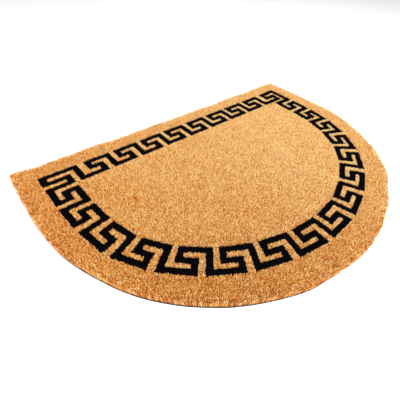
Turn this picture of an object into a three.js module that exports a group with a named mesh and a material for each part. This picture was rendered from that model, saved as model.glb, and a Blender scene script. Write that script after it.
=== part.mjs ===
// Half-round coir doormat: a straight back edge, two short straight sides and a semicircular front.
// Two flat pieces: cut coir pile, standing in the vinyl sheet that holds its roots.
// Millimetres, +Z up. The straight edge is at +Y, the curved front at -Y, and the mat rests on Z = 0.

import * as THREE from "three";

// Driving dimensions
const MAT_WIDTH = 914;
const MAT_DEPTH = 660;
const MAT_HEIGHT = 20;
const BACKING_THICKNESS = 2;
const SEAT_GAP = 0.3;
const CORNER_RADIUS = 9;
const BACKING_INSET = 3.4;

// Steps along the round stretches of the outline
const FRONT_STEPS = 96;
const CORNER_STEPS = 8;

// The pile's edge from root to tip: the tips splay outwards and their cut ends round over.
// share is the height within the pile, and inset is the distance inside the widest outline.
const PILE_EDGE = [
  { share: 0.0, inset: 4.2 },
  { share: 0.3, inset: 2.9 },
  { share: 0.58, inset: 1.2 },
  { share: 0.8, inset: 0.2 },
  { share: 0.88, inset: 0.0 },
  { share: 0.96, inset: 0.9 },
  { share: 1.0, inset: 3.2 },
];

const coir = new THREE.MeshStandardMaterial({ color: 0xc98a45, roughness: 0.95, metalness: 0 });
const vinyl = new THREE.MeshStandardMaterial({ color: 0x2b3036, roughness: 0.6, metalness: 0 });

// Points of a round stretch, between two angles in degrees
function arcPoints(centreX, centreY, radius, from, to, steps) {
  const start = THREE.MathUtils.degToRad(from);
  const end = THREE.MathUtils.degToRad(to);
  return new THREE.EllipseCurve(centreX, centreY, radius, radius, start, end).getPoints(steps);
}

// The half-round outline seen from above, anticlockwise, at a distance inside the widest one
function halfRoundOutline(inset) {
  const frontRadius = MAT_WIDTH / 2;
  const frontCentreY = frontRadius - MAT_DEPTH / 2;
  const cornerX = MAT_WIDTH / 2 - CORNER_RADIUS;
  const cornerY = MAT_DEPTH / 2 - CORNER_RADIUS;
  const corner = CORNER_RADIUS - inset;
  return [
    ...arcPoints(cornerX, cornerY, corner, 0, 90, CORNER_STEPS),
    ...arcPoints(-cornerX, cornerY, corner, 90, 180, CORNER_STEPS),
    ...arcPoints(0, frontCentreY, frontRadius - inset, 180, 360, FRONT_STEPS),
  ];
}

// A closed solid through outlines at rising heights, each with the same number of points
function stackedSolid(levels) {
  const count = levels[0].outline.length;
  const position = [];
  for (const { outline, height } of levels) {
    for (const point of outline) {
      position.push(point.x, point.y, height);
    }
  }
  const index = [];
  for (let level = 0; level < levels.length - 1; level++) {
    for (let i = 0; i < count; i++) {
      const next = (i + 1) % count;
      const low = level * count;
      const high = low + count;
      index.push(low + i, low + next, high + next);
      index.push(low + i, high + next, high + i);
    }
  }
  const top = (levels.length - 1) * count;
  for (const [a, b, c] of THREE.ShapeUtils.triangulateShape(levels[0].outline, [])) {
    index.push(c, b, a);
    index.push(top + a, top + b, top + c);
  }
  const geometry = new THREE.BufferGeometry();
  geometry.setAttribute("position", new THREE.Float32BufferAttribute(position, 3));
  geometry.setIndex(index);
  geometry.computeVertexNormals();
  return geometry;
}

// The vinyl sheet under the whole mat: flat below, with a plain cut edge
function vinylBacking() {
  const outline = halfRoundOutline(BACKING_INSET);
  const geometry = stackedSolid([
    { outline, height: 0 },
    { outline, height: BACKING_THICKNESS },
  ]);
  const mesh = new THREE.Mesh(geometry, vinyl);
  mesh.name = "vinyl_backing";
  return mesh;
}

// The coir pile, as one slab up to the cut ends of its fibres
function coirPile() {
  const root = BACKING_THICKNESS + SEAT_GAP;
  const pileHeight = MAT_HEIGHT - root;
  const levels = PILE_EDGE.map(({ share, inset }) => ({
    outline: halfRoundOutline(inset),
    height: share * pileHeight,
  }));
  const mesh = new THREE.Mesh(stackedSolid(levels), coir);
  mesh.name = "coir_pile";
  mesh.position.z = root;
  return mesh;
}

const doormat = new THREE.Group();
doormat.name = "half_round_coir_doormat";
doormat.add(vinylBacking(), coirPile());

export default doormat;
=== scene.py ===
import math
from bisect import bisect
from collections import namedtuple

import bmesh
import bpy
from mathutils import Matrix, Vector, noise
from mathutils.geometry import delaunay_2d_cdt


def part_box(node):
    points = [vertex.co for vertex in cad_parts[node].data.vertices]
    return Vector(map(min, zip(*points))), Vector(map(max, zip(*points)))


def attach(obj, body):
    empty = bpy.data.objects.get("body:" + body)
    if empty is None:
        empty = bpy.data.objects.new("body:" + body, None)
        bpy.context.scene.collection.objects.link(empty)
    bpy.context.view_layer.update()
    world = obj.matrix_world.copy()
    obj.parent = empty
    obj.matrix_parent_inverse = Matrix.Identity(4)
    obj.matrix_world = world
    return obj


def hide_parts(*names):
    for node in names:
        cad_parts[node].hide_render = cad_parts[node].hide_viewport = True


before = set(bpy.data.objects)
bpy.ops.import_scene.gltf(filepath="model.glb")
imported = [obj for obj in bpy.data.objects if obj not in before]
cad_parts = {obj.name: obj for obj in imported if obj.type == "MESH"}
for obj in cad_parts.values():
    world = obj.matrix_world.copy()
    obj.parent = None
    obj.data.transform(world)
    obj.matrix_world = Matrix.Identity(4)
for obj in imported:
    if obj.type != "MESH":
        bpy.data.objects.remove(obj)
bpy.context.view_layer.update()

scene = bpy.context.scene
MM = 0.001


# The vinyl sheet. Soft blue-black vinyl, poured 2 mm thick, in which the coir's roots are set.
# It is trimmed just inside the pile, so its edge shows as a thin dark line under the fibres.
PILE_LOW, PILE_HIGH = (Vector(corner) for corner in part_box("coir_pile"))
VINYL_LOW, VINYL_HIGH = (Vector(corner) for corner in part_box("vinyl_backing"))
VINYL_INSET = VINYL_LOW.x - PILE_LOW.x
VINYL_LIP = 0.4 * MM
FRONT_RADIUS = (PILE_HIGH.x - PILE_LOW.x) / 2
FRONT_CENTRE = Vector((0, PILE_LOW.y + FRONT_RADIUS))
CORNER_RADIUS = 6 * MM
LEAST_RADIUS = 1 * MM
CORNER_STEPS = 5
EDGE_STEP = 6 * MM
EDGE_WANDER = 1.0 * MM
EDGE_WAVE = 70 * MM
KNIFE_LEAN = 1.8 * MM
LEAN_FROM, LEAN_TO = 0.0, 120 * MM

# Where the cut runs outside its true line, or inside it: on the sides and the front by the
# direction from the front's centre in degrees, and on the straight back edge by x.
Bulge = namedtuple("Bulge", "place reach")
ROUND_BULGES = [Bulge(degrees, reach * MM) for degrees, reach in (
    (154, -4.0), (161, 0.0), (176, 2.4), (184, 0.2), (200, -1.7), (216, 0.0), (232, 0.6),
    (240, 0.0), (251, 1.8), (259, -1.2), (272, 1.8), (280, 1.3), (286, -0.2), (292, 1.2),
    (300, 0.8), (307, 6.6), (318, 7.6), (331, 5.0), (345, 7.0), (386, 4.8),
)]
BACK_BULGES = [Bulge(x * MM, reach * MM) for x, reach in (
    (-457, 13.0), (-432, 14.5), (-398, 7.6), (-355, 9.5), (-300, 8.5), (-258, 10.0),
    (-190, 4.6), (-110, 4.0), (-48, 6.0), (30, 3.6), (95, 6.2), (162, 2.5), (200, 7.4),
    (260, 8.6), (302, 4.4), (345, 6.4), (405, 9.5), (457, 10.0),
)]


def eased(rows, place):
    """The reach at a place, eased from each row to the next."""
    i = min(max(bisect([row.place for row in rows], place), 1), len(rows) - 1)
    before, after = rows[i - 1], rows[i]
    share = min(max((place - before.place) / (after.place - before.place), 0), 1)
    return before.reach + (after.reach - before.reach) * share * share * (3 - 2 * share)


def round_place(point):
    """The direction of a point from the front's centre, run on up the straight sides."""
    ahead = point - FRONT_CENTRE
    if ahead.y < 0:
        return math.degrees(math.atan2(ahead.y, ahead.x)) % 360
    past = math.degrees(ahead.y / FRONT_RADIUS)
    return 360 + past if ahead.x > 0 else 180 - past


def hand_cut(point):
    """A point of the true outline, moved to where the knife ran."""
    ahead = point - FRONT_CENTRE
    reach = eased(ROUND_BULGES, round_place(point))
    out = Vector((ahead.x, min(ahead.y, 0))) / FRONT_RADIUS * reach
    back = max(ahead.y, 0) / (PILE_HIGH.y - FRONT_CENTRE.y) * eased(BACK_BULGES, point.x)
    wave = noise.noise(Vector((point.x, point.y, 0)) / EDGE_WAVE)
    return point + out + Vector((0, back)) + point.normalized() * EDGE_WANDER * wave


def turn(centre, radius, start, end, count):
    """Points of a round stretch, from start to end in degrees."""
    angles = [math.radians(start + (end - start) * i / count) for i in range(count + 1)]
    return [centre + Vector((math.cos(a), math.sin(a))) * radius for a in angles]


def straight(start, end, count):
    """Points of a straight stretch, without its two ends."""
    return [start.lerp(end, i / count) for i in range(1, count)]


def half_round(inset):
    """The mat's outline from above, anticlockwise, inside the pile's widest reach."""
    radius = max(CORNER_RADIUS - inset, LEAST_RADIUS)
    corner = Vector((PILE_HIGH.x - inset - radius, PILE_HIGH.y - inset - radius))
    other = Vector((-corner.x, corner.y))
    front_steps = round(math.pi * FRONT_RADIUS / EDGE_STEP)
    side_steps = round((PILE_HIGH.y - FRONT_CENTRE.y) / EDGE_STEP)
    back_steps = round(2 * FRONT_RADIUS / EDGE_STEP)
    front = turn(FRONT_CENTRE, FRONT_RADIUS - inset, 180, 360, front_steps)
    right = turn(corner, radius, 0, 90, CORNER_STEPS)
    left = turn(other, radius, 90, 180, CORNER_STEPS)
    ring = front + straight(front[-1], right[0], side_steps) + right
    ring += straight(right[-1], left[0], back_steps) + left
    ring += straight(left[-1], front[0], side_steps)
    return [hand_cut(point) for point in ring]


def vinyl_outline(inset):
    """The sheet's outline. The knife leaned in under the pile along the right half."""
    leaned = []
    for point in half_round(inset):
        share = min(max((point.x - LEAN_FROM) / (LEAN_TO - LEAN_FROM), 0), 1)
        leaned.append(point - point.normalized() * KNIFE_LEAN * share)
    return leaned


ROW_STEP = math.sqrt(0.75)
ONLY_INSIDE = 1
TOLERANCE = 1e-6

# The noise that shakes the fill's points has a fixed seed, so each run gives the same mesh.
noise.seed_set(3)


def filled(outline, pitch, wobble):
    """The points and triangles that fill an outline, a pitch apart and a little out of line."""
    low = Vector((min(p.x for p in outline), min(p.y for p in outline)))
    high = Vector((max(p.x for p in outline), max(p.y for p in outline)))
    columns = int((high.x - low.x) / pitch)
    rows = int((high.y - low.y) / (pitch * ROW_STEP))
    inner = []
    for row in range(rows + 1):
        for column in range(columns + 1):
            spot = Vector((column + 0.5 * (row % 2), row * ROW_STEP)) * pitch + low
            shift = noise.noise_vector(Vector((spot.x, spot.y, 1)) / pitch)
            inner.append(spot + wobble * pitch * shift.to_2d())
    count = len(outline)
    edges = [(i, (i + 1) % count) for i in range(count)]
    points, _, faces, *_ = delaunay_2d_cdt(outline + inner, edges, [], ONLY_INSIDE, TOLERANCE)
    return points, faces


def corners_at(bm, outline, height):
    return [bm.verts.new((p.x, p.y, height)) for p in outline]


def walls(bm, rings):
    """Joins each closed ring of corners to the next one with four-sided faces."""
    for lower, upper in zip(rings, rings[1:]):
        for i in range(len(lower)):
            j = (i + 1) % len(lower)
            bm.faces.new((lower[i], lower[j], upper[j], upper[i]))


def slab(levels, pitch, wobble, crown=None):
    """A closed slab through outlines at rising heights, its flat sides filled with small faces.

    The crown gives how far the top rises at a point.
    """
    bm = bmesh.new()
    rings = [corners_at(bm, outline, height) for outline, height in levels]
    walls(bm, rings)
    for end, is_top in ((0, False), (-1, True)):
        outline, height = levels[end]
        points, faces = filled(outline, pitch, wobble)
        verts = list(rings[end])
        for point in points[len(outline):]:
            rise = crown(point) if crown and is_top else 0.0
            verts.append(bm.verts.new((point.x, point.y, height + rise)))
        for face in faces:
            corners = [verts[i] for i in face]
            bm.faces.new(corners if is_top else corners[::-1])
    unused = [vert for vert in bm.verts if not vert.link_faces]
    bmesh.ops.delete(bm, geom=unused, context="VERTS")
    bmesh.ops.recalc_face_normals(bm, faces=bm.faces[:])
    return bm


def finished(name, mesh, stuff=None):
    """A piece at the origin, from a mesh or from a bmesh that is then freed."""
    if isinstance(mesh, bmesh.types.BMesh):
        built = mesh
        mesh = bpy.data.meshes.new(name)
        built.to_mesh(mesh)
        built.free()
    mesh.name = name
    if stuff:
        mesh.materials.append(stuff)
    piece = bpy.data.objects.new(name, mesh)
    scene.collection.objects.link(piece)
    return piece


def lay(piece, solid):
    """Ties a piece to the mat's one body, in place of a solid."""
    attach(piece, "root")
    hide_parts(solid)


class Wire:
    """A socket in a node tree. Sums on it add Math nodes, and node() adds any other node."""

    def __init__(self, tree, socket=None):
        self.tree = tree
        self.socket = socket

    def node(self, kind, settings=None, sockets=None, out=None):
        """A node of this type: its settings first, then the values or links of its sockets."""
        made = self.tree.nodes.new(kind)
        for name, value in (settings or {}).items():
            if name == "ramp":
                stops = made.color_ramp.elements
                while len(stops) < len(value):
                    stops.new(1.0)
                for stop, (place, colour) in zip(stops, value):
                    stop.position = place
                    stop.color = (*colour, 1.0)
            else:
                setattr(made, name, value)
        for name, value in (sockets or {}).items():
            if isinstance(name, int):
                socket = made.inputs[name]
            else:
                socket = next(s for s in made.inputs if s.name == name and s.enabled)
            if isinstance(value, Wire):
                self.tree.links.new(value.socket, socket)
            else:
                socket.default_value = value
        wire = Wire(self.tree, next((s for s in made.outputs if s.enabled), None))
        return wire.also(out) if out else wire

    def also(self, out):
        """Another output of the node that this socket belongs to."""
        found = next(s for s in self.socket.node.outputs if s.name == out and s.enabled)
        return Wire(self.tree, found)

    def part(self, axis):
        """The X, Y or Z of a vector."""
        return self.node("ShaderNodeSeparateXYZ", sockets={"Vector": self}, out=axis)

    def maths(self, operation, *values, clamp=False):
        settings = {"operation": operation, "use_clamp": clamp}
        return self.node("ShaderNodeMath", settings, dict(enumerate(values)))

    def __add__(self, other):
        return self.maths("ADD", self, other)

    def __sub__(self, other):
        return self.maths("SUBTRACT", self, other)

    def __rsub__(self, other):
        return self.maths("SUBTRACT", other, self)

    def __mul__(self, other):
        return self.maths("MULTIPLY", self, other)

    def __truediv__(self, other):
        return self.maths("DIVIDE", self, other)

    def __rtruediv__(self, other):
        return self.maths("DIVIDE", other, self)

    __radd__ = __add__
    __rmul__ = __mul__


def material(name, colour, roughness, specular=0.5):
    """A new material with its plain values set, the wiring of its nodes, and its shader's node."""
    made = bpy.data.materials.new(name)
    made.use_nodes = True
    made.diffuse_color = (*colour, 1.0)
    shader = made.node_tree.nodes["Principled BSDF"]
    shader.inputs["Base Color"].default_value = (*colour, 1.0)
    shader.inputs["Roughness"].default_value = roughness
    shader.inputs["Specular IOR Level"].default_value = specular
    return made, Wire(made.node_tree), shader


def feed(shader, **wires):
    """Links wires to the shader's inputs, their names with _ for a space."""
    for name, wire in wires.items():
        wire.tree.links.new(wire.socket, shader.inputs[name.replace("_", " ")])


VINYL_DARK = (0.012, 0.014, 0.018)
VINYL_WORN = (0.035, 0.039, 0.047)
vinyl, wiring, shader = material("soft_vinyl", VINYL_DARK, 0.6)
place = wiring.node("ShaderNodeTexCoord", out="Object")
pebble = {"Vector": place, "Scale": 420.0}
pebbles = wiring.node("ShaderNodeTexVoronoi", {"feature": "SMOOTH_F1"}, pebble)
scuffs = wiring.node("ShaderNodeTexNoise", sockets={"Vector": place, "Scale": 18.0, "Detail": 5.0})
scuffed = scuffs.maths("MULTIPLY_ADD", scuffs, 1.6, -0.4, clamp=True)
colours = {"Factor": scuffed, "A": (*VINYL_DARK, 1.0), "B": (*VINYL_WORN, 1.0)}
worn = wiring.node("ShaderNodeMix", {"data_type": "RGBA"}, colours, out="Result")
dimple = {"Strength": 0.5, "Distance": 0.4 * MM, "Height": pebbles}
dimples = wiring.node("ShaderNodeBump", sockets=dimple)
feed(shader, Base_Color=worn, Roughness=0.5 + 0.25 * scuffs, Normal=dimples)

edge = vinyl_outline(VINYL_INSET)
drawn_in = vinyl_outline(VINYL_INSET + VINYL_LIP)
vinyl_levels = [
    (drawn_in, VINYL_LOW.z),
    (edge, VINYL_LOW.z + VINYL_LIP),
    (edge, VINYL_HIGH.z - VINYL_LIP),
    (drawn_in, VINYL_HIGH.z),
]
vinyl_sheet = finished("vinyl_sheet", slab(vinyl_levels, pitch=14 * MM, wobble=0.2), vinyl)
lay(vinyl_sheet, "vinyl_backing")


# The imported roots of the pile. Below their loose tips the coir fibres stand so close that they
# make one brown mass, which fills the mat from the vinyl up to some 4 mm under the tips.
PILE_TOP = PILE_HIGH.z
ROOT_DEPTH = 0.2 * MM
BED_FOOT = VINYL_HIGH.z - ROOT_DEPTH
BED_TOP = PILE_TOP - 4.5 * MM
BED_INSET = 6 * MM
BED_UNDERCUT = 1 * MM
BED_SHOULDER = 2 * MM
BED_RELIEF = 1.2 * MM
BED_LUMP = 7 * MM
BED_DARK = (0.12, 0.042, 0.010)
BED_LIGHT = (0.50, 0.21, 0.055)
root_mass, wiring, shader = material("packed_roots", BED_DARK, 0.95, specular=0.2)
place = wiring.node("ShaderNodeTexCoord", out="Object")
upright = wiring.node("ShaderNodeMapping", sockets={"Vector": place, "Scale": (1.0, 1.0, 0.12)})
strand = {"Vector": upright, "Scale": 900.0, "Detail": 3.0}
strands = wiring.node("ShaderNodeTexNoise", sockets=strand)
browns = {"ramp": [(0.35, BED_DARK), (0.7, BED_LIGHT)]}
root_colour = wiring.node("ShaderNodeValToRGB", browns, {"Fac": strands})
groove = {"Strength": 0.8, "Distance": 0.6 * MM, "Height": strands}
grooves = wiring.node("ShaderNodeBump", sockets=groove)
feed(shader, Base_Color=root_colour, Normal=grooves)


def bed_lumps(point):
    return BED_RELIEF * noise.noise(Vector((point.x, point.y, 0)) / BED_LUMP)


bed_levels = [
    (half_round(BED_INSET + BED_UNDERCUT), BED_FOOT),
    (half_round(BED_INSET), (BED_FOOT + BED_TOP) / 2),
    (half_round(BED_INSET), BED_TOP - BED_SHOULDER),
    (half_round(BED_INSET + BED_SHOULDER), BED_TOP),
]
bed_slab = slab(bed_levels, pitch=11 * MM, wobble=0.35, crown=bed_lumps)
packed_roots = finished("packed_roots", bed_slab, root_mass)
lay(packed_roots, "coir_pile")


# The dyer's stencil of the key border. It is cut from one line that runs all round the mat and
# hooks back on itself, in a band five cells deep. It says which tufts are dyed, and isn't kept.
CELL = 13.1 * MM
BACK_MARGIN = 43 * MM
SIDE_MARGIN = 48 * MM
FRONT_MARGIN = 62 * MM
BEND_LAG = 7.5 * MM
BEND_STEPS = 600
BAND_STEPS = 160
WELD = 0.01 * MM

# In cells: the band's depth, the line's places across it, its width, and its units along it.
BAND = 5.0
OUTER, MIDDLE, INNER = 0.58, 2.5, 4.46
LINE = 1.10
LINE_BACK = 0.05
LINE_FAR = 0.38
Run = namedtuple("Run", "units pitch hook")
BACK_RUNS = [Run(1, 6.4, 2.85), Run(4, 5.98, 2.5), Run(3, 6.13, 2.5), Run(1, 7.13, 3.05)]
ROUND_RUNS = [Run(3, 5.95, 2.5), Run(9, 6.65, 2.6), Run(2, 6.37, 2.6), Run(2, 6.1, 2.5)]
BAR_FROM_START = 0.5
STEM_FROM_END = 1.6
FIRST_BACK_BAR = 5.90
FIRST_SIDE_BAR = 5.83
CORNER_BAR = 4.42
CORNER_TURN = 4.38

# How far the laid stencil is out of true, outwards and clockwise along the band, by the
# direction from the front's centre in degrees.
STENCIL_OUT = [Bulge(degrees, reach * MM) for degrees, reach in (
    (154, 0), (166, 0.8), (175, 0.8), (184, -1.6), (190, -1.8), (199, 2.8), (212, 2.6),
    (224, 0), (238, -0.6), (250, -1.6), (262, 0.5), (282, 2.4), (296, 1.1), (322, 2.0),
    (340, -0.7), (354, 0), (366, 1.4), (386, 0),
)]
STENCIL_ALONG = [Bulge(degrees, reach * MM) for degrees, reach in (
    (154, 1.2), (166, 1.2), (174, 0), (182, 2.2), (190, 1.1), (198, -1.3), (214, -1.8),
    (232, 0), (246, -0.2), (262, -1.2), (290, -1.6), (314, -2.6), (330, -1.3), (344, 0),
    (356, 1.9), (366, 1.0), (376, -3.0), (386, -2.0),
)]

band_half = PILE_HIGH.x - SIDE_MARGIN
band_back = PILE_HIGH.y - BACK_MARGIN
bend_centre = PILE_LOW.y + FRONT_RADIUS - BEND_LAG
bend_depth = bend_centre - (PILE_LOW.y + FRONT_MARGIN)


def border_middle():
    """The band's middle line, down the right side, round the front and up the left side."""
    outer = [(Vector((band_half, band_back)), Vector((1, 0)))]
    for i in range(BEND_STEPS + 1):
        a = math.pi * i / BEND_STEPS
        spot = Vector((band_half * math.cos(a), bend_centre - bend_depth * math.sin(a)))
        out = Vector((bend_depth * math.cos(a), -band_half * math.sin(a))).normalized()
        outer.append((spot, out))
    outer.append((Vector((-band_half, band_back)), Vector((-1, 0))))
    length = 0.0
    line = []
    for spot, out in outer:
        middle = spot - out * (BAND / 2) * CELL
        length += (middle - line[-1][1]).length if line else 0.0
        line.append((length, middle, out))
    return line


round_line = border_middle()
round_lengths = [length for length, _, _ in round_line]


def on_round(along, deep):
    """The place so many cells along the round stretch and so deep in the band."""
    along *= CELL
    i = min(max(bisect(round_lengths, along), 1), len(round_line) - 1)
    (a, start, out_a), (b, end, out_b) = round_line[i - 1 : i + 1]
    share = (along - a) / (b - a)
    middle, out = start.lerp(end, share), out_a.lerp(out_b, share)
    place = round_place(middle)
    moved = out * eased(STENCIL_OUT, place)
    moved += Vector((out.y, -out.x)) * eased(STENCIL_ALONG, place)
    return middle + moved + out * (BAND / 2 - deep) * CELL


def on_back(along, deep):
    """The place so many cells along the back row from the left, and so deep in the band."""
    return Vector((-band_half + along * CELL, band_back - deep * CELL))


def hooks(place, start, runs):
    """The line's corners through each unit: a cross bar, in along the band and back in a hook."""
    corners = []
    for run in runs:
        for _ in range(run.units):
            bar, hook = start + BAR_FROM_START, start + run.hook
            stem = start + run.pitch - STEM_FROM_END
            corners += [(bar, OUTER), (bar, INNER), (stem, INNER)]
            corners += [(stem, MIDDLE), (hook, MIDDLE), (hook, OUTER)]
            start += run.pitch
    return [place(along, deep) for along, deep in corners]


key_line = [on_back(CORNER_BAR, CORNER_TURN), on_back(CORNER_BAR, MIDDLE)]
key_line += [on_back(OUTER, MIDDLE), on_back(OUTER, OUTER)]
key_line += hooks(on_back, FIRST_BACK_BAR, BACK_RUNS)
key_line += [on_round(OUTER, OUTER)]
key_line += hooks(on_round, FIRST_SIDE_BAR, ROUND_RUNS)
key_line += [on_back(OUTER, CORNER_TURN)]


def half_line(spot):
    """Half the line's width. The dye has bled further towards the back right corner."""
    up = (spot.y - PILE_LOW.y) / (PILE_HIGH.y - PILE_LOW.y)
    across = (spot.x - PILE_LOW.x) / (PILE_HIGH.x - PILE_LOW.x)
    return CELL * (LINE + up * (LINE_BACK + LINE_FAR * across * across)) / 2


def beside(line, side):
    """The edge of the closed key line on one side, with its corners kept sharp."""
    moved = []
    for before, corner, after in zip(line[-1:] + line[:-1], line, line[1:] + line[:1]):
        come, go = (corner - before).normalized(), (after - corner).normalized()
        bisector = Vector((-come.y - go.y, come.x + go.x)).normalized()
        reach = side * half_line(corner) / bisector.dot(Vector((-go.y, go.x)))
        moved.append(corner + bisector * reach)
    return moved


def stencil(name, outlines):
    """A flat stencil with these outlines, level with the top of the pile."""
    bm = bmesh.new()
    for outline in outlines:
        bm.faces.new(corners_at(bm, outline, PILE_TOP))
    bmesh.ops.remove_doubles(bm, verts=bm.verts[:], dist=WELD)
    return finished(name, bm)


def band_outline(deep):
    """The band's line at one depth, all the way round."""
    length = round(round_lengths[-1] / CELL, 2) - 2 * deep
    return [on_round(deep + length * i / BAND_STEPS, deep) for i in range(BAND_STEPS + 1)]


left_side = beside(key_line, 1)
right_side = beside(key_line, -1)
strips = []
for i, corner in enumerate(left_side):
    j = (i + 1) % len(left_side)
    strips.append([corner, left_side[j], right_side[j], right_side[i]])
key_stencil = stencil("key_stencil", strips)
band_stencil = stencil("band_stencil", [band_outline(0.0)])
field_stencil = stencil("field_stencil", [band_outline(BAND)])


# The dyed roots. The dye runs down the fibres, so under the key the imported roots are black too.
# They lie in the brown ones as a flat band, just proud of them.
DYED_TOP = BED_TOP + 1.4 * MM
DYED_FOOT = DYED_TOP - 3.5 * MM
DYE_DARK = (0.001, 0.001, 0.0015)
DYE_LIGHT = (0.004, 0.004, 0.005)
dyed_mass, wiring, shader = material("dyed_roots", DYE_DARK, 0.95, specular=0.02)
place = wiring.node("ShaderNodeTexCoord", out="Object")
strand = {"Vector": place, "Scale": 700.0, "Detail": 3.0}
strands = wiring.node("ShaderNodeTexNoise", sockets=strand)
blacks = {"ramp": [(0.35, DYE_DARK), (0.75, DYE_LIGHT)]}
root_colour = wiring.node("ShaderNodeValToRGB", blacks, {"Fac": strands})
groove = {"Strength": 0.8, "Distance": 0.6 * MM, "Height": strands}
grooves = wiring.node("ShaderNodeBump", sockets=groove)
feed(shader, Base_Color=root_colour, Normal=grooves)

band = bmesh.new()
foot = corners_at(band, right_side, DYED_FOOT), corners_at(band, left_side, DYED_FOOT)
top = corners_at(band, left_side, DYED_TOP), corners_at(band, right_side, DYED_TOP)
walls(band, [*foot, *top, foot[0]])
bmesh.ops.recalc_face_normals(band, faces=band.faces[:])
dyed_roots = finished("dyed_roots", band, dyed_mass)
lay(dyed_roots, "coir_pile")


# The cut coir. Bundles of coconut fibre stand upright in the vinyl and are sheared level, each
# at its own slant, height and shade. The dyed ones are near black down to their roots.
SPACING = 1.50 * MM
DRAWN_PER_SQUARE = 3.0
BUNDLE = 2.0 * MM
GIRTH = (0.8, 1.2)
OWN_HEIGHT = 0.5
UPRIGHT_INSET = 12.6 * MM
TIP_RISE = 0.2 * MM
TUFT_LENGTH = 7.0 * MM
TUFT_ROOT = PILE_TOP - TUFT_LENGTH + TIP_RISE
TUFT_RADIUS = 1.0 * MM
TUFT_SIDES = 3
TUFT_TWIST = 40
CUT_SLANT = 0.5

# On a tuft's map, its sides stand below its cut end, and its shade sets how far across it is.
SIDES_TOP = 0.9
CUT_END, CUT_END_HALF = 0.96, 0.035
SHADE_WIDTH = 0.012
SHADE_LEAST, SHADE_MOST = 0.01, 0.98

# A tuft's shade varies by itself, with its bundle and with its patch of the mat. Some are dark
# husk. Painted shade also darkens the tufts towards the left and the front,
# where the light falls off.
OWN_SHADE, OWN_MEAN = 0.65, 0.667
BUNDLE_SHADE = 0.32
PATCH_SHADE, PATCH = 0.12, 45 * MM
LOCK = 6 * MM
HUSK_SHADE, HUSK_FROM = 0.45, 0.93
SHADE_PAINTED_LEFT, LEFT_SHADE_ENDS = 0.34, 150 * MM
SHADE_PAINTED_FRONT = 0.15


def tuft(name, spine, lowest=0.0):
    """A bundle of fibres along a spine of (out, height, radius) rows, with a slanting cut end.

    On its map it is an upright strip that starts at lowest, and the cut end sits above it.
    """
    bm = bmesh.new()
    layer = bm.loops.layers.uv.new("OFBake")
    rings = []
    for step, (out, height, radius) in enumerate(spine):
        ring = []
        for side in range(TUFT_SIDES):
            a = math.tau * side / TUFT_SIDES + math.radians(TUFT_TWIST * step)
            slant = CUT_SLANT * radius * math.cos(a) if step == len(spine) - 1 else 0.0
            at = (out + radius * math.cos(a), radius * math.sin(a), height + slant)
            ring.append(bm.verts.new(at))
        rings.append(ring)
    tip_out, top, _ = spine[-1]
    for lower, upper, low_row, high_row in zip(rings, rings[1:], spine, spine[1:]):
        for side in range(TUFT_SIDES):
            following = (side + 1) % TUFT_SIDES
            face = bm.faces.new((lower[side], lower[following], upper[following], upper[side]))
            heights = [low_row[1], low_row[1], high_row[1], high_row[1]]
            for loop, across, height in zip(face.loops, (0, 1, 1, 0), heights):
                loop[layer].uv = (across, lowest + (SIDES_TOP - lowest) * height / top)
    end = bm.faces.new(rings[-1])
    for loop in end.loops:
        around = (loop.vert.co - Vector((tip_out, 0, top))).to_2d().normalized()
        loop[layer].uv = (0.5 + 0.5 * around.x, CUT_END + CUT_END_HALF * around.y)
    bmesh.ops.triangulate(bm, faces=bm.faces[:])
    return finished(name, bm)


# The bare tufts leave an empty first slot ahead of the material that the tree sets.
BARE_SLOT = 0


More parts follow.
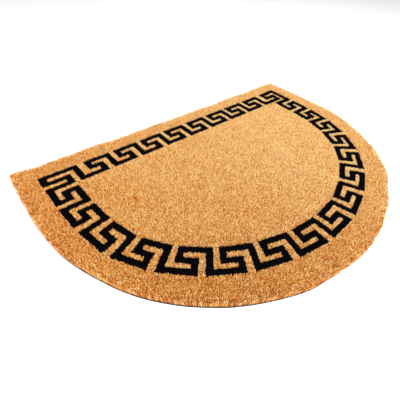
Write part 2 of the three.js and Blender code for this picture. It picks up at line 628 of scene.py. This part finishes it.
class Tree:
    """A Geometry Nodes tree with named inputs, and the wiring that builds it."""

    def __init__(self, name, inputs):
        self.tree = bpy.data.node_groups.new(name, "GeometryNodeTree")
        interface = self.tree.interface
        interface.new_socket("Geometry", in_out="OUTPUT", socket_type="NodeSocketGeometry")
        interface.new_socket("Geometry", in_out="INPUT", socket_type="NodeSocketGeometry")
        for label, kind in inputs.items():
            interface.new_socket(label, in_out="INPUT", socket_type="NodeSocket" + kind)
        self.wiring = Wire(self.tree)
        self.node = self.wiring.node
        self.maths = self.wiring.maths
        self.entry = self.node("NodeGroupInput")
        self.position = self.node("GeometryNodeInputPosition")

    def __getitem__(self, label):
        return self.entry.also(label)

    def chance(self, low, high, seed):
        """A random number for each tuft, or a vector if the limits are vectors."""
        kind = "FLOAT" if isinstance(low, float) else "FLOAT_VECTOR"
        limits = {"Min": low, "Max": high, "Seed": seed}
        return self.node("FunctionNodeRandomValue", {"data_type": kind}, limits)

    def vectors(self, operation, a, b):
        return self.node("ShaderNodeVectorMath", {"operation": operation}, {0: a, 1: b})

    def scaled(self, vector, factor):
        values = {0: vector, "Scale": factor}
        return self.node("ShaderNodeVectorMath", {"operation": "SCALE"}, values)

    def axes(self, x=0.0, y=0.0, z=0.0):
        return self.node("ShaderNodeCombineXYZ", sockets={"X": x, "Y": y, "Z": z})

    def patches(self, size):
        """Noise around 0.5, in patches of about this size."""
        values = {"Vector": self.position, "Scale": 1.0 / size, "Detail": 1.0}
        return self.node("ShaderNodeTexNoise", sockets=values, out="Fac")

    def shape_of(self, label):
        values = {"Object": self[label]}
        return self.node("GeometryNodeObjectInfo", sockets=values, out="Geometry")

    def attribute(self, kind, name):
        values = {"Name": name}
        return self.node("GeometryNodeInputNamedAttribute", {"data_type": kind}, values)

    def tone_and_painted_shade(self, clump):
        """How pale each tuft is on its map, where clump is its bundle's own random number.

        The input Locks says how much the shade changes from lock to lock of the fibres.
        """
        own = self.maths("MAXIMUM", self.chance(0.0, 1.0, 16), self.chance(0.0, 1.0, 17))
        husk = self.maths("GREATER_THAN", self.chance(0.0, 1.0, 18), HUSK_FROM)
        x = self.position.part("X")
        # Painted shade: the tufts are darkened towards the left and the front, for the light that
        # falls off there.
        painted_shade = SHADE_PAINTED_LEFT * self.maths("MINIMUM", x - LEFT_SHADE_ENDS, 0.0)
        painted_shade = painted_shade + SHADE_PAINTED_FRONT * self.maths("MINIMUM", x.also("Y"), 0.0)
        shade = self["Pale"] + OWN_SHADE * (own - OWN_MEAN)
        shade = shade + BUNDLE_SHADE * (clump - 0.5) - HUSK_SHADE * husk
        shade = shade + PATCH_SHADE * (self.patches(PATCH) - 0.5) + painted_shade
        shade = shade + self["Locks"] * (self.patches(LOCK) - 0.5)
        return self.maths("MINIMUM", self.maths("MAXIMUM", shade, SHADE_LEAST), SHADE_MOST)

    def end(self, standing, shade):
        """Closes the tree: the tufts made real, each moved on its map to its own shade."""
        marks = {"Geometry": standing, "Name": "shade", "Value": shade}
        store = "GeometryNodeStoreNamedAttribute"
        marked = self.node(store, {"data_type": "FLOAT", "domain": "INSTANCE"}, marks)
        real = self.node("GeometryNodeRealizeInstances", sockets={"Geometry": marked})
        across = self.attribute("FLOAT_VECTOR", "OFBake").part("X")
        kept_shade = self.attribute("FLOAT", "shade")
        on_map = self.axes(kept_shade + SHADE_WIDTH * across, across.also("Y"))
        mapping = {"Geometry": real, "Name": "OFBake", "Value": on_map}
        mapped = self.node(store, {"data_type": "FLOAT2", "domain": "CORNER"}, mapping)
        leftover = {"Geometry": mapped, "Name": "shade"}
        bare = self.node("GeometryNodeRemoveAttribute", sockets=leftover)
        set_on = {"Geometry": bare, "Material": self["Material"]}
        dressed = self.node("GeometryNodeSetMaterial", sockets=set_on)
        self.node("NodeGroupOutput", sockets={"Geometry": dressed})

    def run(self, name, ground, **values):
        """The plain mesh piece that the tree makes of the ground with these input values."""
        carrier = bpy.data.objects.new(name, ground)
        scene.collection.objects.link(carrier)
        modifier = carrier.modifiers.new("pile", "NODES")
        modifier.node_group = self.tree
        for item in self.tree.interface.items_tree:
            if item.in_out == "INPUT" and item.name in values:
                modifier[item.identifier] = values.pop(item.name)
        if values:
            raise ValueError(f"{name}: the tree has no input {sorted(values)}")
        evaluated = carrier.evaluated_get(bpy.context.evaluated_depsgraph_get())
        mesh = bpy.data.meshes.new_from_object(evaluated)
        mesh.materials.pop(index=BARE_SLOT)
        bpy.data.objects.remove(carrier)
        return finished(name, mesh)


tree = Tree("cut_pile", {
    "Spacing": "Float", "Seed": "Int", "Within": "Object", "Without": "Object",
    "From": "Float", "To": "Float", "Tuft": "Object", "Ragged": "Float", "Lean": "Float",
    "Gather": "Float", "Uneven": "Float", "Pale": "Float", "Locks": "Float",
    "Material": "Material",
})
spread = {
    "Mesh": tree["Geometry"],
    "Distance Min": tree["Spacing"],
    "Density Max": DRAWN_PER_SQUARE / (tree["Spacing"] * tree["Spacing"]),
    "Seed": tree["Seed"],
}
poisson = {"distribute_method": "POISSON"}
roots = tree.node("GeometryNodeDistributePointsOnFaces", poisson, spread, out="Points")

# The tufts of a bundle lean in on its middle, each a little on its own.
cells = {"Vector": tree.position, "Scale": 1.0 / BUNDLE}
flat = {"voronoi_dimensions": "2D"}
middle = tree.node("ShaderNodeTexVoronoi", flat, cells, out="Position")
clump = middle.also("Color").part("X")
inwards = tree.vectors("SUBTRACT", middle, tree.position)
inwards = tree.vectors("MULTIPLY", inwards, (1.0, 1.0, 0.0))
slant = tree.scaled(inwards, tree["Gather"] / TUFT_LENGTH)
own_slant = tree.chance((-1.0, -1.0, 0.0), (1.0, 1.0, 0.0), 12)
slant = tree.vectors("ADD", slant, tree.scaled(own_slant, tree["Lean"]))
slant = tree.vectors("ADD", slant, tree.attribute("FLOAT_VECTOR", "splay"))

# The dye goes on from above, so a tuft is inside or outside by the place of its tip.
shake = tree.scaled(tree.chance((-1.0, -1.0, 0.0), (1.0, 1.0, 0.0), 11), tree["Ragged"])
tip = tree.vectors("ADD", tree.position, tree.scaled(slant, TUFT_LENGTH))
tip = tree.vectors("ADD", tip, shake)


def under(label):
    """Whether a stencil covers a tuft's tip."""
    ray = {"Target Geometry": tree.shape_of(label), "Source Position": tip}
    ray |= {"Ray Direction": (0.0, 0.0, 1.0), "Ray Length": 1.0}
    return tree.node("GeometryNodeRaycast", sockets=ray, out="Is Hit")


x = tree.position.part("X")
kept = tree.maths("GREATER_THAN", x, tree["From"]) * tree.maths("LESS_THAN", x, tree["To"])
kept = kept * under("Within") * (1.0 - under("Without"))
others = {"Geometry": roots, "Selection": 1.0 - kept}
kept_roots = tree.node("GeometryNodeDeleteGeometry", {"domain": "POINT"}, others)

aim = {
    "Rotation": tree.axes(z=tree.chance(0.0, math.tau, 13)),
    "Vector": tree.vectors("ADD", slant, (0.0, 0.0, 1.0)),
}
stance = tree.node("FunctionNodeAlignRotationToVector", {"axis": "Z"}, aim)
short = tree["Uneven"] * (OWN_HEIGHT * tree.chance(-0.5, 0.5, 14) + 0.5 - clump)
girth = tree.chance(*GIRTH, 15)
standing = {
    "Points": kept_roots,
    "Instance": tree.shape_of("Tuft"),
    "Rotation": stance,
    "Scale": tree.axes(girth, girth, 1.0 - short),
}
tree.end(tree.node("GeometryNodeInstanceOnPoints", sockets=standing), tree.tone_and_painted_shade(clump))

SHADES = [
    (0.0, (0.30, 0.075, 0.012)),
    (0.12, (0.49, 0.150, 0.021)),
    (0.30, (0.62, 0.25, 0.046)),
    (0.47, (0.71, 0.395, 0.12)),
    (0.64, (0.755, 0.54, 0.225)),
    (1.0, (0.79, 0.705, 0.45)),
]
# Painted shade of the gaps between tufts: each tuft's colour is darkened down its length towards
# its root, and its cut end keeps its full colour.
PAINTED_DEPTH_SHADES = [
    (0.0, (0.34, 0.18, 0.09)),
    (0.4, (0.59, 0.47, 0.34)),
    (0.72, (0.93, 0.87, 0.76)),
    (0.92, (1.0, 0.97, 0.92)),
]
DYES = [
    (0.0, (0.0008, 0.0008, 0.001)),
    (0.6, (0.002, 0.002, 0.003)),
    (0.93, (0.006, 0.006, 0.010)),
    (1.0, (0.12, 0.06, 0.03)),
]


def fibres(wiring):
    """The shade and the height of a place on a tuft, from its map, and fine streaks up it."""
    fibre_map = wiring.node("ShaderNodeUVMap", {"uv_map": "OFBake"})
    shade = fibre_map.part("X")
    stretch = {"Vector": fibre_map, "Scale": (420.0, 3.0, 1.0)}
    stretched = wiring.node("ShaderNodeMapping", sockets=stretch)
    streak = {"Vector": stretched, "Scale": 1.0, "Detail": 2.0}
    return shade, shade.also("Y"), wiring.node("ShaderNodeTexNoise", sockets=streak)


cut_coir, wiring, shader = material("cut_coir", (0.55, 0.27, 0.09), 0.85, specular=0.12)
shade, height, streaks = fibres(wiring)
streaked = {"Fac": shade + 0.6 * (streaks - 0.5)}
fibre_tone_and_shade = wiring.node("ShaderNodeValToRGB", {"ramp": SHADES}, streaked)
# The painted shade of the gaps, by the height on the tuft's map.
painted_depth_shade = wiring.node("ShaderNodeValToRGB", {"ramp": PAINTED_DEPTH_SHADES}, {"Fac": height})
colour_and_depth_shade = {"Factor": 1.0, "A": fibre_tone_and_shade, "B": painted_depth_shade}
multiplied = {"data_type": "RGBA", "blend_type": "MULTIPLY"}
coir_colour_and_shade = wiring.node("ShaderNodeMix", multiplied, colour_and_depth_shade, out="Result")
feed(shader, Base_Color=coir_colour_and_shade, Roughness=0.75 + 0.2 * streaks)

dyed_coir, wiring, shader = material("dyed_coir", (0.003, 0.003, 0.004), 0.8, specular=0.02)
shade, height, streaks = fibres(wiring)
streaked = {"Fac": shade + 0.08 * (streaks - 0.5)}
dye_colour = wiring.node("ShaderNodeValToRGB", {"ramp": DYES}, streaked)
feed(shader, Base_Color=dye_colour, Roughness=0.7 + 0.2 * streaks)

everywhere = stencil("everywhere", [half_round(0.0)])
nowhere = finished("nowhere", bpy.data.meshes.new("nowhere"))

# The border's plain ground is what lies in the band but under neither the key nor the field.
both = bmesh.new()
both.from_mesh(key_stencil.data)
both.from_mesh(field_stencil.data)
key_and_field = finished("key_and_field", both)

ground = bpy.data.meshes.new("ground")
spots = [(p.x, p.y, TUFT_ROOT) for p in half_round(UPRIGHT_INSET)]
ground.from_pydata(spots, [], [list(range(len(spots)))])
upright_tuft = tuft("upright_tuft", spine=[
    (0, 0, 0.95 * TUFT_RADIUS),
    (0, TUFT_LENGTH, 0.85 * TUFT_RADIUS),
])

# LEFT and RIGHT are well clear of the mat. The field is in three pieces, which keeps each small,
# and they meet at SEAM on either side of its middle.
LEFT, RIGHT = 2 * PILE_LOW.x, 2 * PILE_HIGH.x
SEAM = 125 * MM
FIELD_PALE, BORDER_PALE, MARGIN_PALE = 0.575, 0.615, 0.515
Bed = namedtuple("Bed", "name within without start stop pale stuff")
BEDS = [
    Bed("field_pile_left", field_stencil, key_stencil, LEFT, -SEAM, FIELD_PALE, cut_coir),
    Bed("field_pile_middle", field_stencil, key_stencil, -SEAM, SEAM, FIELD_PALE, cut_coir),
    Bed("field_pile_right", field_stencil, key_stencil, SEAM, RIGHT, FIELD_PALE, cut_coir),
    Bed("border_pile", band_stencil, key_and_field, LEFT, RIGHT, BORDER_PALE, cut_coir),
    Bed("margin_pile_left", everywhere, band_stencil, LEFT, 0.0, MARGIN_PALE, cut_coir),
    Bed("margin_pile_right", everywhere, band_stencil, 0.0, RIGHT, MARGIN_PALE, cut_coir),
    Bed("key_pile", key_stencil, nowhere, LEFT, RIGHT, FIELD_PALE, dyed_coir),
]
pile = []
for bed in BEDS:
    piece = tree.run(
        bed.name, ground, Spacing=SPACING, Seed=5, Within=bed.within, Without=bed.without,
        From=bed.start, To=bed.stop, Tuft=upright_tuft, Ragged=0.3 * MM, Lean=0.12,
        Gather=0.35, Uneven=0.12, Pale=bed.pale, Locks=0.0, Material=bed.stuff,
    )
    lay(piece, "coir_pile")
    pile.append(piece)


# The rim. The outermost bundles have no neighbours outside, so they splay out from their roots,
# and show their whole length above the vinyl.
RIM_SPACING = 1.28 * MM
RIM_FOOT = VINYL_HIGH.z - ROOT_DEPTH
RIM_LENGTH = PILE_TOP - RIM_FOOT + TIP_RISE
RIM_RADIUS = 0.85 * MM
RIM_BEND = 0.5 * MM
RIM_ROOT = 5.0 * MM
RIM_TIP = 0.8 * MM
CLEAR = 20 * MM
ring = half_round(RIM_ROOT)
inner_ring = half_round(UPRIGHT_INSET)
around = len(ring)
spots = [(p.x, p.y, RIM_FOOT) for p in ring + inner_ring]
quads = [(i, (i + 1) % around, around + (i + 1) % around, around + i) for i in range(around)]
rim_ground = bpy.data.meshes.new("rim_ground")
rim_ground.from_pydata(spots, [], quads)
splays = []
for outer_spot, inner_spot in zip(ring, inner_ring):
    out = (outer_spot - inner_spot).normalized() * (RIM_ROOT - RIM_TIP) / RIM_LENGTH
    splays += [out.x, out.y, 0.0]
splays += [0.0] * 3 * around
rim_ground.attributes.new("splay", "FLOAT_VECTOR", "POINT").data.foreach_set("vector", splays)

# This stencil reaches well past the mat, so that it keeps every tuft of the rim.
whole = stencil("whole", [half_round(-CLEAR)])
# The rim's tufts start higher on their map, so their open sides take less of the painted shade of
# the gaps.
rim_tuft = tuft("rim_tuft", lowest=0.55, spine=[
    (0, 0, RIM_RADIUS),
    (RIM_BEND, 0.5 * RIM_LENGTH, RIM_RADIUS),
    (0, RIM_LENGTH, 0.95 * RIM_RADIUS),
])
rim_pile = tree.run(
    "rim_pile", rim_ground, Spacing=RIM_SPACING, Seed=8, Within=whole, Without=nowhere,
    From=LEFT, To=RIGHT, Tuft=rim_tuft, Ragged=0.0, Lean=0.06, Gather=0.2, Uneven=0.08,
    Pale=0.53, Locks=1.2, Material=cut_coir,
)
lay(rim_pile, "coir_pile")

stencils = (key_stencil, band_stencil, field_stencil, key_and_field, everywhere, nowhere, whole)
for helper in (*stencils, upright_tuft, rim_tuft):
    bpy.data.objects.remove(helper)


# The mat on a plain pale floor. The vinyl sheet is cut flat and lies flat, and carries all the
# coir, so its flat size and area are those of its own outline.
cut_area = sum(a.x * b.y - b.x * a.y for a, b in zip(edge, edge[1:] + edge[:1])) / 2
pile += [rim_pile, packed_roots, dyed_roots]

bpy.ops.mesh.primitive_plane_add(size=12.0, location=(0, 0, 0))
floor = bpy.context.object
floor.name = "floor"
floor_paint, wiring, shader = material("floor_paint", (0.9, 0.9, 0.9), 0.9)
floor.data.materials.append(floor_paint)


# The studio light. A soft lamp hangs over the mat, a stronger one stands in front of it, and
# the white room gives the rest.
MAT_MIDDLE = Vector((0, 0, 0))
ROOM_LIGHT = 0.56


def softbox(name, place, size, power):
    """A round soft lamp that faces the mat's middle."""
    light = bpy.data.lights.new(name, "AREA")
    light.shape = "DISK"
    light.size = size
    light.energy = power
    lamp = bpy.data.objects.new(name, light)
    lamp.location = place
    lamp.rotation_euler = (MAT_MIDDLE - Vector(place)).to_track_quat("-Z", "Y").to_euler()
    scene.collection.objects.link(lamp)


softbox("key_light", place=(-0.1, 0.0, 2.7), size=1.4, power=50)
softbox("fill_light", place=(0.2, -1.9, 1.5), size=1.8, power=126)
room = bpy.data.worlds.new("studio")
room.use_nodes = True
room.node_tree.nodes["Background"].inputs["Color"].default_value = (1, 1, 1, 1)
room.node_tree.nodes["Background"].inputs["Strength"].default_value = ROOM_LIGHT
scene.world = room
scene.view_settings.view_transform = "Standard"


# The camera, where the photo was taken from: over the front left of the mat and close to it.
# Its focal length and centre are in pixels of a picture of 400 by 400.
FRAME = 400
FOCAL = 286.887
CENTRE = (231.808, 216.600)
SENSOR = 36.0
CAMERA_AT = Vector((-447.5, -379.0, 472.8)) * MM
AZIMUTH, ELEVATION, ROLL = 46.543, 46.981, -5.055

azimuth, elevation, roll = (math.radians(v) for v in (AZIMUTH, ELEVATION, ROLL))
ahead = Vector((
    math.sin(azimuth) * math.cos(elevation),
    math.cos(azimuth) * math.cos(elevation),
    -math.sin(elevation),
))
level = Vector((math.cos(azimuth), -math.sin(azimuth), 0))
plumb = ahead.cross(level)
right = level * math.cos(roll) + plumb * math.sin(roll)
down = plumb * math.cos(roll) - level * math.sin(roll)
lens = bpy.data.cameras.new("camera")
lens.sensor_width = SENSOR
lens.lens = SENSOR * FOCAL / FRAME
lens.shift_x = (FRAME / 2 - CENTRE[0]) / FRAME
lens.shift_y = (CENTRE[1] - FRAME / 2) / FRAME
lens.clip_start = 0.01
camera = bpy.data.objects.new("camera", lens)
turned = Matrix((right, -down, -ahead)).transposed().to_4x4()
camera.matrix_world = Matrix.Translation(CAMERA_AT) @ turned
scene.collection.objects.link(camera)
scene.camera = camera
